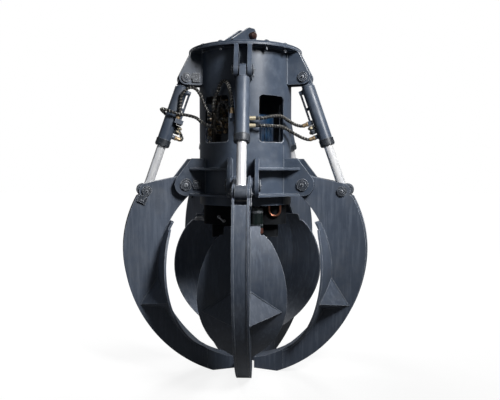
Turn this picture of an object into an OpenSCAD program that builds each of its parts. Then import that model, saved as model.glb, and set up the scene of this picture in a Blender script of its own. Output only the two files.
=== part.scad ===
// Five-tine hydraulic scrap grapple, closed and hanging upright.
// The origin is the centre of the cover's top face, on the axis of the drum, with +Z up.
// Each bracket and tine is drawn with X outward from the axis, Y sideways and Z up, then turned to
// its place.

/* [Drum] */
// Outer radius of the drum
drum_r = 362; // [355:1:368]
// Thickness of the drum's wall
drum_wall = 20; // [14:1:24]
// Length of the drum below its flange
drum_len = 1149; // [1140:1:1180]
// Radius of the top flange and cover
flange_r = 443; // [438:1:450]
// Thickness of the flange, and of the cover
flange_t = 13; // [11:1:16]
// Radius of the circle of bolts and free holes
bolt_circle_r = 404; // [400:1:408]
// Radius of a free hole in the flange
flange_hole_r = 12; // [9:0.5:13]
// Width of a window
window_w = 224; // [190:1:230]
// Height of a window
window_h = 342; // [320:1:350]
// Depth of a window's top edge below the cover
window_top = 365; // [355:1:375]
// Radius of a window's corners
window_corner_r = 28; // [15:1:40]

/* [Lifting lug] */
// Thickness of each lug ear
lug_t = 30; // [24:1:34]
// Distance between the middles of the two lug ears
lug_pitch = 103; // [96:1:110]
// Height of the lug ears
lug_h = 190; // [184:1:200]
// Radius of the lifting pin
lug_pin_r = 27; // [22:0.5:30]
// Height of the lifting pin
lug_pin_h = 128; // [122:1:132]

/* [Cylinder brackets] */
// Radius at which the upper pins sit
upper_pin_x = 480; // [476:1:484]
// Depth of the upper pins below the cover
upper_pin_depth = 215; // [210:1:218]
// Radius of the upper pins and of the rod pins
cyl_pin_r = 30; // [26:0.5:32]
// Gap between the two ears of an upper bracket
upper_gap = 64; // [62:1:70]
// Thickness of an upper ear
upper_ear_t = 30; // [24:1:34]
// Radius of an upper ear round its pin
upper_ear_r = 52; // [48:1:54]

/* [Tine brackets] */
// Radius at which the tine pins sit
lower_pin_x = 495; // [492:1:498]
// Depth of the tine pins below the cover
lower_pin_depth = 1020; // [1018:1:1023]
// Radius of the tine pins
tine_pin_r = 37; // [33:0.5:40]
// Gap between the two ears of a lower bracket
lower_gap = 169; // [167:1:175]
// Thickness of a lower ear
lower_ear_t = 26; // [20:1:30]
// Radius of a lower ear round its pin
lower_ear_r = 85; // [80:1:88]
// Thickness of the shelf plates between the brackets
ring_plate_t = 14; // [10:1:18]

/* [Cylinder] */
// Outer radius of the barrel
barrel_r = 50; // [48:0.5:52]
// Wall of the barrel
barrel_wall = 10; // [8:0.5:12]
// Radius of the chrome rod
rod_r = 33; // [30:0.5:35]
// Distance from the upper pin to the end of the gland
gland_end = 537; // [530:1:545]
// Length of the gland's collar
gland_len = 45; // [38:1:50]
// Width of the barrel's eye
barrel_eye_w = 46; // [40:1:60]
// Width of the rod's eye
rod_eye_w = 78; // [70:1:80]

/* [Tine] */
// Width of a tine's rib
rib_w = 112; // [110:1:118]
// Thickness of a rib's cheeks
cheek_t = 15; // [12:1:15]
// Thickness of a rib's face plate
face_t = 16; // [12:1:20]
// How far the face plate lies below the cheeks' edges
face_inset = 5; // [3:1:9]
// Radius at which the rod pin sits, grapple closed
rod_pin_x = 780; // [777:1:783]
// Depth of the rod pin below the cover, grapple closed
rod_pin_depth = 1065; // [1062:1:1068]
// Thickness of the leaf
leaf_t = 16; // [12:1:20]
// Half the leaf's greatest width
leaf_half_w = 305; // [290:1:312]
// Backward tilt of each half of the leaf
leaf_tilt = 5; // [2:0.5:7]
// Depth of the tips below the cover
tip_depth = 2489; // [2480:1:2496]

/* [Hidden] */
tine_count = 5;
first_angle = -90;
round_sides = 64;
big_sides = 180;
$fn = round_sides;
share_middle = 0.5;

// Clearances and overruns
seat = 0.3;          // gap at a welded or bolted seat on a curved face
run = 0.05;          // radial clearance of a pin or piston that turns or slides
side_play = 0.5;     // gap at each side of an eye, a boss or a ring
over = 60;           // overrun of a cut
far = 3000;          // reach of a cut that takes a whole side away

// Colours
paint = [0.33, 0.38, 0.44];
dark_paint = [0.20, 0.23, 0.28];
steel = [0.55, 0.56, 0.58];
chrome = [0.80, 0.80, 0.82];
black = [0.06, 0.06, 0.06];
motor_blue = [0.11, 0.34, 0.52];
brass = [0.55, 0.42, 0.22];
filter_green = [0.10, 0.24, 0.18];
copper = [0.62, 0.36, 0.24];
brown = [0.30, 0.16, 0.12];

// Drum, flange and windows
drum_top = -2 * flange_t;
drum_bottom = drum_top - drum_len;
drum_in_r = drum_r - drum_wall;
seat_r = drum_r + seat;
ear_root_x = drum_r - 1.5 * drum_wall;
bolt_turn = 24;
hole_turn = 31.5;
bolt_r = 10;
bolt_play = 1;
bolt_head_r = 17;
bolt_head_h = 13;
washer_r = 20;
washer_t = 3;

// Lug, measured along the ear from the drum's axis
lug_turn = -45;
lug_heel = 185;
lug_toe = 55;
lug_top_heel = 20;
lug_top_toe = 35;
lug_heel_h = 80;
lug_toe_h = 164;
lug_pin_out = 50;
lug_pin_dome = 14;
lug_half = (lug_pitch + lug_t) / 2;

// Pins: each carries a ring and a flag that a keeper holds on the +Y side, and a ring on the other
ring_t = 12;
upper_ring_lip = 6;
lower_ring_lip = 7;
upper_ring_r = cyl_pin_r + upper_ring_lip;
lower_ring_r = tine_pin_r + lower_ring_lip;
flag_w = 22;
flag_len = 42;
keeper_len = 54;
keeper_w = 68;
keeper_t = 14;
keeper_gap = 10;
keeper_wall = 20;
keeper_play = 2;
rod_flag_turn = -62;

// Brackets
upper_pin = [upper_pin_x, -upper_pin_depth];
lower_pin = [lower_pin_x, -lower_pin_depth];
rod_pin = [rod_pin_x, -rod_pin_depth];
upper_half = upper_gap / 2 + upper_ear_t;
lower_half = lower_gap / 2 + lower_ear_t;
lower_ear_top_x = 450;
lower_ear_top = -823;
shelf_x = 473;
shelf_top = -898;

// Cylinder, along its line from the upper pin
cyl_line = rod_pin - upper_pin;
cyl_len = norm(cyl_line);
cyl_angle = atan2(cyl_line.y, cyl_line.x);
eye_r = 42;
tube_start = 66;
cap_len = 30;
cap_taper = 12;
bore_r = barrel_r - barrel_wall;
gland_lip = 5;
gland_r = barrel_r + gland_lip;
spigot_len = 55;
collar_start = gland_end - gland_len;
piston_len = 50;
piston_gap = 5;
piston_end = collar_start - spigot_len - piston_gap;
rod_eye_r = 48;
slot_len = 26;
slot_play = 3.2;
rod_weld = 4;

// Oil ports and the steel pipe on the barrel's inner side
port_r = 17;
pipe_r = 8;
pipe_rise = 20;
pipe_off = barrel_r + pipe_rise;
cap_port = 96;
pipe_end = 320;
elbow_w = 32;
elbow_arm = 86;
elbow_reach = 46;
elbow_drop = 30;
elbow_sides = [-1, 0, 1, 1, 1];
rod_port = 452;
clip_at = 230;
clip_w = 22;
clip_t = 8;

// Tine outline: a crown arc that runs at join_turn into a belly arc, whose lowest point would lie
// tip_cut below the tips
crown_in = 671;
crown_drop = 446;
crown_r = 848;
join_turn = -7.4;
tip_cut = 82;
crown_c = rod_pin - [crown_in, crown_drop];
belly_r = (crown_c.y + crown_r * sin(join_turn) + tip_depth + tip_cut) / (1 + sin(join_turn));
belly_c = crown_c - (belly_r - crown_r) * [cos(join_turn), sin(join_turn)];
rib_half = rib_w / 2;
hinge_cheek_r = 70;
boss_tube_r = 58;
rod_boss_r = 57;
face_drop = 67;

// Leaf: a band round its own centre, cut to a pointed outline
leaf_in = 71;
leaf_r = 769;
tip_h = 56;
leaf_c = [rod_pin_x - leaf_in - leaf_r, tip_h - tip_depth + leaf_r];
neck_w = 125;
neck_drop = 230;
neck_h = 57;
neck_top = rod_pin.y - neck_drop;
leaf_top = neck_top - neck_h;
leaf_shoulder_w = 150;
leaf_belly_rise = 704;
leaf_belly = leaf_belly_rise - tip_depth;
leaf_upper_r = 738;
leaf_lower_r = 623;
tip_start_x = 330;
tip_end_x = 92;
function circle_x(c, r, z) = c.x + sqrt(r * r - (z - c.y) * (z - c.y));

// Wedge gussets between rib and leaf: apex, wing on the leaf, ridge on the rib and foot, each at its
// height above the tips
gusset_in = 30;
gusset_wing_w = 268;
gusset_lip = 8;
ridge_in = 29;
apex_rise = 769;
wing_rise = 617;
ridge_rise = 571;
foot_rise = 527;
apex_z = apex_rise - tip_depth;
wing_z = wing_rise - tip_depth;
ridge_z = ridge_rise - tip_depth;
foot_z = foot_rise - tip_depth;
gusset_apex = [circle_x(leaf_c, leaf_r, apex_z), rib_half, apex_z];
gusset_wing = [circle_x(leaf_c, leaf_r, wing_z) - gusset_wing_w * tan(leaf_tilt) + gusset_lip,
               gusset_wing_w, wing_z];
gusset_ridge = [circle_x(belly_c, belly_r, ridge_z) - ridge_in, rib_half, ridge_z];
gusset_foot = [circle_x(leaf_c, leaf_r, foot_z) - rib_half * tan(leaf_tilt), rib_half, foot_z];

// Drive inside the drum
deck_top = -800;
deck_t = 15;
floor_t = 15;
motor_r = 150;
motor_off = 120;
motor_turn = 36;
motor_h = 305;
motor_base_h = 16;
fin_count = 28;
fin_h = 12;
fin_w = 7;
cowl_h = 60;
box_w = 110;
box_h = 90;
pump_r = 78;
pump_h = 210;
pump_flange_r = 110;
pump_flange_t = 14;
block_off = 225;
block_w = 120;
block_d = 80;
block_h = 190;
block_bottom = -640;
block_places = [tine_count, tine_count - 1, tine_count - 2];
stand_w = 70;
stand_d = 50;
coil_r = 15;
coil_len = 60;
coil_step = 38;
bulkhead_x = 395;
bulkhead_w = 60;
bulkhead_h = 105;
bulkhead_bottom = -620;
bulkhead_out = 20;
pan_w = 640;
pan_d = 390;
pan_corner_r = 90;
pan_h = 150;
pan_wall = 12;
sump_in = 62;
sump_h = 105;
canister_r = 46;
canister_h = 190;
canister_x = 95;
canister_y = -262;
canister_neck_r = 24;
canister_neck_h = 18;
pipe_bend = 42;
pipe_leg = 40;
return_r = 9;
return_x = 228;
return_y = -215;
return_step = 440;

// Hoses: bore, body and guard
hose_r = 11;
hose_bore_r = 7;
guard_r = 14.5;
guard_pitch = 50;
ferrule_r = 15;
ferrule_len = 42;
nut_r = 18;
nut_len = 15;
hose_sides = 8;
window_turn = 180 / tine_count;
block_face = block_off + block_d / 2 + seat;
hose_start = nut_len + ferrule_len;
straight = 25;
upright_share = 0.9;

// Ends of a hose: turn from its bracket in degrees, radius and height. A block end lies square to a
// manifold block, y to its side; a bulkhead end lies square to the block behind the front cylinder.
// An elbow start rises along the cylinder or, at side 0, leaves it square, as a port start does.
runs = [seat, straight, 2 * straight];
function near_cylinder(along, y, in) =
    let (r = upper_pin.x + along * cos(cyl_angle) + in * sin(cyl_angle))
    [atan2(y, r), norm([r, y]), upper_pin.y + along * sin(cyl_angle) - in * cos(cyl_angle)];
function elbow_start(side) = [for (out = runs) side == 0
    ? near_cylinder(pipe_end + elbow_w / 2, 0, pipe_off + elbow_w / 2 + out)
    : near_cylinder(pipe_end - out, side * (elbow_arm - elbow_w / 2), pipe_off - elbow_drop)];
port_start = [for (out = runs) near_cylinder(rod_port, 0, pipe_off + out)];
function block_end(way, y, z) = [for (i = [2 : -1 : 0]) let (out = block_face + hose_start + runs[i])
    [way * (window_turn + atan2(y, out)), norm([out, y]), z]];
function bulkhead_end(z) = [for (i = [2 : -1 : 0])
    let (y = bulkhead_w / 2 + seat + hose_start + runs[i])
    [atan2(y, bulkhead_x) - 2 * window_turn, norm([y, bulkhead_x]), z]];

// Points between the ends, from the cylinder to the drum
arch = concat(elbow_start(1), [[7.7, 531, -410], [9.3, 518, -340], [13, 478, -298], [17.5, 438, -312],
                               [22, 414, -370], [26, 400, -440]], block_end(1, -40, -497));
low = concat(port_start, [[4, 480, -672], [10, 440, -640], [17, 412, -606]], block_end(1, -40, -590));
loop = concat(elbow_start(-1), [[-8.6, 514, -420], [-12, 470, -330], [-17, 425, -280], [-23, 405, -285],
                                [-29, 396, -350], [-34, 394, -420]], block_end(-1, 0, -478));
inner_arc = concat(port_start, [[-3, 475, -645], [-8, 440, -570], [-14, 412, -480], [-20, 400, -425],
                                [-26, 395, -435], [-28, 392, -490]], block_end(-1, -41, -535));
high_across = concat(elbow_start(0), [[-7, 428, -570], [-17, 404, -545], [-27, 399, -520],
                                      [-37, 399, -518]], bulkhead_end(-541));
low_across = concat(port_start, [[-5, 475, -668], [-13, 430, -636], [-22, 404, -606],
                                 [-32, 399, -592]], bulkhead_end(-594));
wrap = concat(port_start, [[-7, 503, -655], [-12, 540, -580], [-11.5, 602, -500], [-6, 646, -458],
                           [0, 658, -450], [5.5, 640, -460], [8.8, 590, -482], [9.8, 535, -496],
                           [12, 485, -503], [17, 438, -522], [22, 412, -556]], block_end(1, -40, -590));
hose_routes = [[loop, inner_arc], [high_across, low_across], [arch, low], [arch, low], [arch, wrap]];

// Directions and tangents
function unit(v) = v / norm(v);
function turned(v, a) = [v.x * cos(a) - v.y * sin(a), v.x * sin(a) + v.y * cos(a)];
function touch(p, c, r, way) = c + r * turned(unit(p - c), way * acos(r / norm(p - c)));
function tangent(c1, r1, c2, r2, way) =
    let (n = turned(unit(c2 - c1), way * acos((r1 - r2) / norm(c2 - c1))))
    [c1 + r1 * n, c2 + r2 * n];
function bracket_turn(k) = first_angle + (k - 1) * 360 / tine_count;

module at_bracket(k) { rotate([0, 0, bracket_turn(k)]) children(); }
module at_each_bracket() { for (k = [1 : tine_count]) at_bracket(k) children(); }
// stands an outline of radius and height upright between two sideways places
module upright(from, to) {
    translate([0, to, 0]) rotate([90, 0, 0]) linear_extrude(height = to - from) children();
}
module both_sides(inner, outer) {
    upright(inner, outer) children();
    upright(-outer, -inner) children();
}
module disc_at(c, r) { translate(c) circle(r = r, $fn = r > drum_r ? big_sides : round_sides); }
module side_pin(c, r, from, to) {
    translate([c.x, to, c.y]) rotate([90, 0, 0]) cylinder(r = r, h = to - from);
}
module rounded_rect(w, h, r) {
    square([w - 2 * r, h], center = true);
    square([w, h - 2 * r], center = true);
    for (x = [-1, 1], y = [-1, 1]) translate([x * (w / 2 - r), y * (h / 2 - r)]) circle(r = r);
}
module outside_drum() {
    difference() {
        children();
        translate([0, 0, -far / 2]) cylinder(r = seat_r, h = far, center = true);
    }
}

// Drum
module drum_shell() {
    color(paint) difference() {
        translate([0, 0, drum_bottom]) cylinder(r = drum_r, h = drum_len);
        translate([0, 0, drum_bottom - over]) cylinder(r = drum_in_r, h = drum_len + 2 * over);
        for (k = [1 : tine_count]) rotate([0, 0, bracket_turn(k + share_middle)])
            translate([drum_in_r / 2, 0, -window_top - window_h / 2]) rotate([90, 0, 90])
                linear_extrude(height = drum_r) rounded_rect(window_w, window_h, window_corner_r);
    }
}

module flange_cuts(bottom) {
    for (k = [1 : tine_count]) {
        for (a = [-bolt_turn, bolt_turn]) rotate([0, 0, bracket_turn(k) + a])
            translate([bolt_circle_r, 0, bottom - over])
                cylinder(r = bolt_r + bolt_play, h = flange_t + 2 * over);
        rotate([0, 0, bracket_turn(k) + hole_turn]) translate([bolt_circle_r, 0, bottom - over])
            cylinder(r = flange_hole_r, h = flange_t + 2 * over);
    }
}

module top_flange() {
    color(paint) difference() {
        translate([0, 0, drum_top]) cylinder(r = flange_r, h = flange_t);
        translate([0, 0, drum_top - over]) cylinder(r = drum_in_r, h = flange_t + 2 * over);
        flange_cuts(drum_top);
    }
}

module top_cover() {
    color(paint) difference() {
        translate([0, 0, -flange_t]) cylinder(r = flange_r, h = flange_t);
        flange_cuts(-flange_t);
    }
}

module cover_bolts() {
    color(steel) for (k = [1 : tine_count], a = [-bolt_turn, bolt_turn])
        rotate([0, 0, bracket_turn(k) + a]) translate([bolt_circle_r, 0, 0]) {
            translate([0, 0, drum_top - bolt_head_h - washer_t])
                cylinder(r = bolt_r, h = 2 * flange_t + bolt_head_h + 2 * washer_t);
            cylinder(r = washer_r, h = washer_t);
            translate([0, 0, washer_t]) cylinder(r = bolt_head_r, h = bolt_head_h, $fn = 6);
            translate([0, 0, drum_top - washer_t]) cylinder(r = washer_r, h = washer_t);
            translate([0, 0, drum_top - washer_t - bolt_head_h])
                cylinder(r = bolt_head_r, h = bolt_head_h, $fn = 6);
        }
}

// Lifting lug
module lug_outline() {
    difference() {
        polygon([[-lug_heel, 0], [lug_toe, 0], [lug_toe, lug_toe_h], [lug_top_toe, lug_h],
                 [-lug_top_heel, lug_h], [-lug_heel, lug_heel_h]]);
        disc_at([0, lug_pin_h], lug_pin_r + run);
    }
}

module lifting_lug() {
    color(paint) rotate([0, 0, lug_turn + 90])
        both_sides(lug_half - lug_t, lug_half) lug_outline();
}

module lifting_pin() {
    color(brown) rotate([0, 0, lug_turn + 90]) translate([0, 0, lug_pin_h]) {
        rotate([90, 0, 0]) translate([0, 0, -lug_half - lug_pin_out])
            cylinder(r = lug_pin_r, h = 2 * lug_half + 2 * lug_pin_out - lug_pin_dome);
        translate([0, -lug_half - lug_pin_out + lug_pin_dome, 0]) rotate([90, 0, 0])
            cylinder(r1 = lug_pin_r, r2 = lug_pin_r - lug_pin_dome, h = lug_pin_dome);
    }
}

// Cylinder brackets
module upper_ear_outline() {
    rim = [flange_r - seat, drum_top];
    difference() {
        union() {
            polygon([[ear_root_x, drum_top], rim, touch(rim, upper_pin, upper_ear_r, -1),
                     upper_pin - [0, upper_ear_r], [ear_root_x, upper_pin.y - upper_ear_r]]);
            disc_at(upper_pin, upper_ear_r);
        }
        disc_at(upper_pin, cyl_pin_r + run);
    }
}

module upper_ears() {
    color(paint) at_each_bracket() outside_drum()
        both_sides(upper_gap / 2, upper_half) upper_ear_outline();
}

// Tine brackets
module lower_ear_outline() {
    shoulder = [lower_ear_top_x, lower_ear_top];
    difference() {
        union() {
            polygon([[ear_root_x, lower_ear_top], shoulder, touch(shoulder, lower_pin, lower_ear_r, -1),
                     lower_pin - [0, lower_ear_r], [ear_root_x, lower_pin.y - lower_ear_r]]);
            disc_at(lower_pin, lower_ear_r);
        }
        disc_at(lower_pin, tine_pin_r + run);
    }
}

module lower_ears() {
    color(paint) at_each_bracket() outside_drum()
        both_sides(lower_gap / 2, lower_half) lower_ear_outline();
}

// Shelf and floor plates that join one bracket to the next
module ring_plate(top) {
    next = 360 / tine_count;
    corners = [[ear_root_x, lower_half], [shelf_x, lower_half],
               turned([shelf_x, -lower_half], next), turned([ear_root_x, -lower_half], next)];
    outside_drum() translate([0, 0, top - ring_plate_t])
        linear_extrude(height = ring_plate_t) polygon(corners);
}

module ring_plates() {
    color(paint) at_each_bracket() {
        ring_plate(shelf_top);
        ring_plate(lower_pin.y - lower_ear_r + ring_plate_t);
    }
}

// A pin through both ears, with its ring and flag on the +Y side and a ring on the other
module flagged_pin(c, r, ring_r, half, flag_turn) {
    face = half + side_play;
    side_pin(c, r, -face - ring_t, face + ring_t);
    side_pin(c, ring_r, face, face + ring_t);
    side_pin(c, ring_r, -face - ring_t, -face);
    upright(face, face + ring_t) translate(c) rotate(flag_turn)
        translate([ring_r / 2, -flag_w / 2]) square([ring_r / 2 + flag_len, flag_w]);
}

// The block that the flag sits in, open towards the pin
module keeper_outline(c, ring_r, flag_turn) {
    start = ring_r + keeper_gap;
    translate(c) rotate(flag_turn) translate([start, 0]) difference() {
        translate([0, -keeper_w / 2]) square([keeper_len, keeper_w]);
        translate([-over, -flag_w / 2 - keeper_play])
            square([over + keeper_len - keeper_wall, flag_w + 2 * keeper_play]);
    }
}

module upper_pins() {
    color(steel) at_each_bracket() flagged_pin(upper_pin, cyl_pin_r, upper_ring_r, upper_half, 180);
}

module lower_pins() {
    color(steel) at_each_bracket() flagged_pin(lower_pin, tine_pin_r, lower_ring_r, lower_half, 180);
}

module pin_keepers() {
    color(dark_paint) at_each_bracket() {
        upright(upper_half, upper_half + keeper_t) keeper_outline(upper_pin, upper_ring_r, 180);
        upright(lower_half, lower_half + keeper_t) keeper_outline(lower_pin, lower_ring_r, 180);
    }
}

// Drive inside the drum
module equipment_deck() {
    color(dark_paint) translate([0, 0, deck_top - deck_t]) cylinder(r = drum_in_r - seat, h = deck_t);
}

module at_motor() {
    rotate([0, 0, bracket_turn(1) + motor_turn]) translate([motor_off, 0, deck_top]) children();
}

module electric_motor() {
    frame_h = motor_h - cowl_h;
    color(motor_blue) at_motor() {
        cylinder(r = motor_r, h = motor_base_h);
        cylinder(r = motor_r - fin_h, h = frame_h);
        for (i = [0 : fin_count - 1]) rotate([0, 0, i * 360 / fin_count])
            translate([0, -fin_w / 2, 0]) cube([motor_r - fin_h / 4, fin_w, frame_h - fin_h]);
        translate([0, 0, frame_h - fin_h]) cylinder(r = motor_r, h = cowl_h);
        translate([0, 0, frame_h - fin_h + cowl_h])
            cylinder(r1 = motor_r, r2 = motor_r - fin_h, h = fin_h);
        rotate([0, 0, 180]) translate([motor_r - 2 * fin_h, -box_w / 2, frame_h / 2 - box_h / 2])
            cube([4 * fin_h, box_w, box_h]);
    }
}

module pump() {
    color(dark_paint) at_motor() translate([0, 0, -deck_t]) {
        translate([0, 0, -pump_flange_t]) cylinder(r = pump_flange_r, h = pump_flange_t);
        translate([0, 0, -pump_h]) cylinder(r = pump_r, h = pump_h);
        translate([0, 0, -pump_h - pump_flange_t])
            cylinder(r = pump_r - pump_flange_t, h = pump_flange_t);
    }
}

module valve_manifold() {
    color(dark_paint) {
        for (k = block_places) rotate([0, 0, bracket_turn(k + share_middle)]) translate([block_off, 0, 0]) {
            translate([-block_d / 2, -block_w / 2, block_bottom]) cube([block_d, block_w, block_h]);
            translate([-stand_d / 2, -stand_w / 2, deck_top])
                cube([stand_d, stand_w, block_bottom - deck_top]);
            for (i = [-1 : 1]) translate([0, i * coil_step, block_bottom + block_h])
                cylinder(r = coil_r, h = coil_len);
        }
        at_bracket(1) outside_drum() translate([drum_in_r, -bulkhead_w / 2, bulkhead_bottom])
            cube([bulkhead_x + bulkhead_out - drum_in_r, bulkhead_w, bulkhead_h]);
    }
}

// The floor with the oil pan under it and the deeper sump under the pan
module pan_block(bottom, top, inset) {
    translate([0, 0, -bottom]) linear_extrude(height = bottom - top)
        rounded_rect(pan_w - 2 * inset, pan_d - 2 * inset, pan_corner_r - inset);
}

module bottom_plate() {
    color(dark_paint) translate([0, 0, drum_bottom]) difference() {
        union() {
            cylinder(r = drum_in_r - seat, h = floor_t);
            pan_block(pan_h, 0, 0);
            pan_block(pan_h + sump_h, pan_h, sump_in);
        }
        pan_block(pan_h - pan_wall, -floor_t - over, pan_wall);
    }
}

module filter_canister() {
    color(filter_green) translate([canister_x, canister_y, drum_bottom]) {
        translate([0, 0, -canister_neck_h]) cylinder(r = canister_neck_r, h = canister_neck_h);
        translate([0, 0, -canister_neck_h - canister_h]) cylinder(r = canister_r, h = canister_h);
        translate([0, 0, -2 * canister_neck_h - canister_h])
            cylinder(r1 = canister_neck_r, r2 = canister_r, h = canister_neck_h);
    }
}

// Sweeps a round section of given sides along points, ring by ring; radii has one radius for each point
function tangent_at(p, i) = unit(p[min(i + 1, len(p) - 1)] - p[max(i - 1, 0)]);
function across(t, last) = unit(last - (last * t) * t);
function frames(p, i, last) =
    let (n = across(tangent_at(p, i), last))
    i == len(p) - 1 ? [n] : concat([n], frames(p, i + 1, n));
function any_side(t) = abs(t.z) < upright_share ? [0, 0, 1] : [1, 0, 0];
function ring_points(p, radii, sides) =
    let (ns = frames(p, 0, across(tangent_at(p, 0), any_side(tangent_at(p, 0)))))
    [for (i = [0 : len(p) - 1]) let (b = cross(tangent_at(p, i), ns[i]))
        for (j = [0 : sides - 1]) let (a = j * 360 / sides)
            p[i] + radii[i] * (cos(a) * ns[i] + sin(a) * b)];
function wall_faces(rings, sides, base, flip) = [for (i = [0 : rings - 2], j = [0 : sides - 1], h = [0, 1])
    let (a = base + i * sides + j, b = base + i * sides + (j + 1) % sides, c = a + sides, d = b + sides,
         f = h == 0 ? [a, b, d] : [a, d, c]) flip ? [f[2], f[1], f[0]] : f];
function end_faces(outer, inner, sides, flip) = [for (j = [0 : sides - 1], h = [0, 1])
    let (k = (j + 1) % sides,
         f = h == 0 ? [outer + j, inner + k, outer + k] : [outer + j, inner + j, inner + k])
    flip ? [f[2], f[1], f[0]] : f];
module swept_hose(p, radii, bore, sides) {
    n = len(p);
    m = n * sides;
    polyhedron(points = concat(ring_points(p, radii, sides), ring_points(p, [for (q = p) bore], sides)),
               faces = concat(wall_faces(n, sides, 0, true), wall_faces(n, sides, m, false),
                              end_faces(0, m, sides, true),
                              end_faces(m - sides, 2 * m - sides, sides, false)));
}

// A smooth route through hand-set points, cut into equal shares of each stretch
function placed(q) = [q[1] * cos(q[0]), q[1] * sin(q[0]), q[2]];
function spline(a, b, c, d, t) = 0.5 * (2 * b + (c - a) * t + (2 * a - 5 * b + 4 * c - d) * t * t
    + (3 * b - a - 3 * c + d) * t * t * t);
function rib_count(b, c) = max(1, round(norm(c - b) / guard_pitch));
function smooth(p) = concat([for (i = [0 : len(p) - 2])
    let (a = p[max(i - 1, 0)], b = p[i], c = p[i + 1], d = p[min(i + 2, len(p) - 1)],
         s = 2 * rib_count(b, c))
    for (t = [0 : s - 1]) spline(a, b, c, d, t / s)], [p[len(p) - 1]]);

module hose(route) {
    path = smooth([for (q = route) placed(q)]);
    n = len(path);
    radii = [for (i = [0 : n - 1]) i < 2 || i > n - 3 ? hose_r : (i % 2 == 0 ? hose_r : guard_r)];
    swept_hose(path, radii, hose_bore_r, hose_sides);
}

module hoses(k) {
    color(black) at_bracket(k) for (route = hose_routes[k - 1]) hose(route);
}

// A ferrule and nut at a hose's end, running on from the hose to the block
module ferrule(end, before) {
    way = unit(end - before);
    translate(end) rotate([0, acos(way.z), atan2(way.y, way.x)]) {
        cylinder(r = ferrule_r, h = ferrule_len);
        translate([0, 0, ferrule_len]) cylinder(r = nut_r, h = nut_len, $fn = 6);
    }
}

module hose_fittings() {
    color(brass) for (k = [1 : tine_count]) at_bracket(k) for (route = hose_routes[k - 1])
        ferrule(placed(route[len(route) - 1]), placed(route[len(route) - 2]));
}

// Return pipes under the drum, each bent like a U
module return_pipes() {
    color(copper) for (i = [0, 1])
        translate([return_x, return_y + i * return_step, drum_bottom - pipe_leg]) {
            for (x = [-pipe_bend, pipe_bend]) translate([x, 0, 0]) cylinder(r = return_r, h = pipe_leg);
            rotate([90, 0, 0]) rotate([0, 0, 180]) rotate_extrude(angle = 180)
                translate([pipe_bend, 0]) circle(r = return_r);
        }
}

// Cylinder: drawn along +X from the upper pin, with +Z to the outer side
module along_cylinder() {
    translate([upper_pin.x, 0, upper_pin.y]) rotate([0, -cyl_angle, 0]) children();
}
module round_x(r, from, to) { translate([from, 0, 0]) rotate([0, 90, 0]) cylinder(r = r, h = to - from); }
module eye_block(x, z, r, w) {
    translate([x, w / 2, z]) rotate([90, 0, 0]) cylinder(r = r, h = w);
}

// the block at the pipe's end; its arm carries a hose past the barrel's side
module elbow(side) {
    start = side > 0 ? 0 : -elbow_arm;
    foot = side > 0 ? elbow_arm - elbow_w : -elbow_arm;
    translate([pipe_end, 0, -elbow_w / 2]) {
        translate([0, -elbow_w / 2, 0]) cube(elbow_w);
        if (side != 0) {
            translate([0, start, 0]) cube([elbow_w, elbow_arm, elbow_w]);
            translate([0, foot, 0]) cube([elbow_w, elbow_w, elbow_w / 2 + elbow_reach]);
        }
    }
}

module barrel(k) {
    color(paint) at_bracket(k) along_cylinder() {
        difference() {
            union() {
                eye_block(0, 0, eye_r, barrel_eye_w);
                translate([0, -barrel_eye_w / 2, seat - eye_r])
                    cube([tube_start, barrel_eye_w, 2 * (eye_r - seat)]);
                translate([tube_start, 0, 0]) rotate([0, 90, 0])
                    cylinder(r1 = barrel_r - cap_taper, r2 = barrel_r, h = cap_taper);
                round_x(barrel_r, tube_start + cap_taper, collar_start);
                translate([cap_port, 0, -pipe_off - pipe_r]) cylinder(r = port_r, h = pipe_off + pipe_r);
                translate([rod_port, 0, -pipe_off]) cylinder(r = port_r, h = pipe_off);
                translate([clip_at, 0, -pipe_off / 2]) cube([clip_w, clip_t, pipe_off], center = true);
            }
            round_x(bore_r, tube_start + cap_len, gland_end);
            side_pin([0, 0], cyl_pin_r + run, -barrel_r, barrel_r);
        }
        translate([0, 0, -pipe_off]) {
            round_x(pipe_r, cap_port, pipe_end);
            elbow(elbow_sides[k - 1]);
        }
    }
}

module gland(k) {
    color(dark_paint) at_bracket(k) along_cylinder() difference() {
        union() {
            round_x(gland_r, collar_start, gland_end);
            round_x(bore_r - run, collar_start - spigot_len, collar_start);
        }
        round_x(rod_r + run, 0, gland_end + over);
    }
}

module rod(k) {
    color(chrome) at_bracket(k) along_cylinder() {
        difference() {
            union() {
                round_x(rod_r, piston_end, cyl_len - rod_eye_r + rod_weld);
                round_x(bore_r - run, piston_end - piston_len, piston_end);
                eye_block(cyl_len, 0, rod_eye_r, rod_eye_w);
                eye_block(cyl_len, slot_len, rod_eye_r, rod_eye_w);
                translate([cyl_len, 0, slot_len / 2])
                    cube([2 * rod_eye_r, rod_eye_w, slot_len], center = true);
            }
            side_pin([cyl_len, 0], cyl_pin_r + slot_play, -barrel_r, barrel_r);
            side_pin([cyl_len, slot_len], cyl_pin_r + slot_play, -barrel_r, barrel_r);
            translate([cyl_len, 0, slot_len / 2])
                cube([2 * (cyl_pin_r + slot_play), 2 * barrel_r, slot_len], center = true);
        }
    }
}

// Tine
module below_join() {
    translate(belly_c) rotate(join_turn) translate([-far, -far]) square([2 * far, far]);
}

// everything inside the tine's outer edge, drawn in by an inset
module outer_outline(inset) {
    disc_at(crown_c, crown_r - inset);
    intersection() {
        disc_at(belly_c, belly_r - inset);
        below_join();
    }
}

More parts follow.
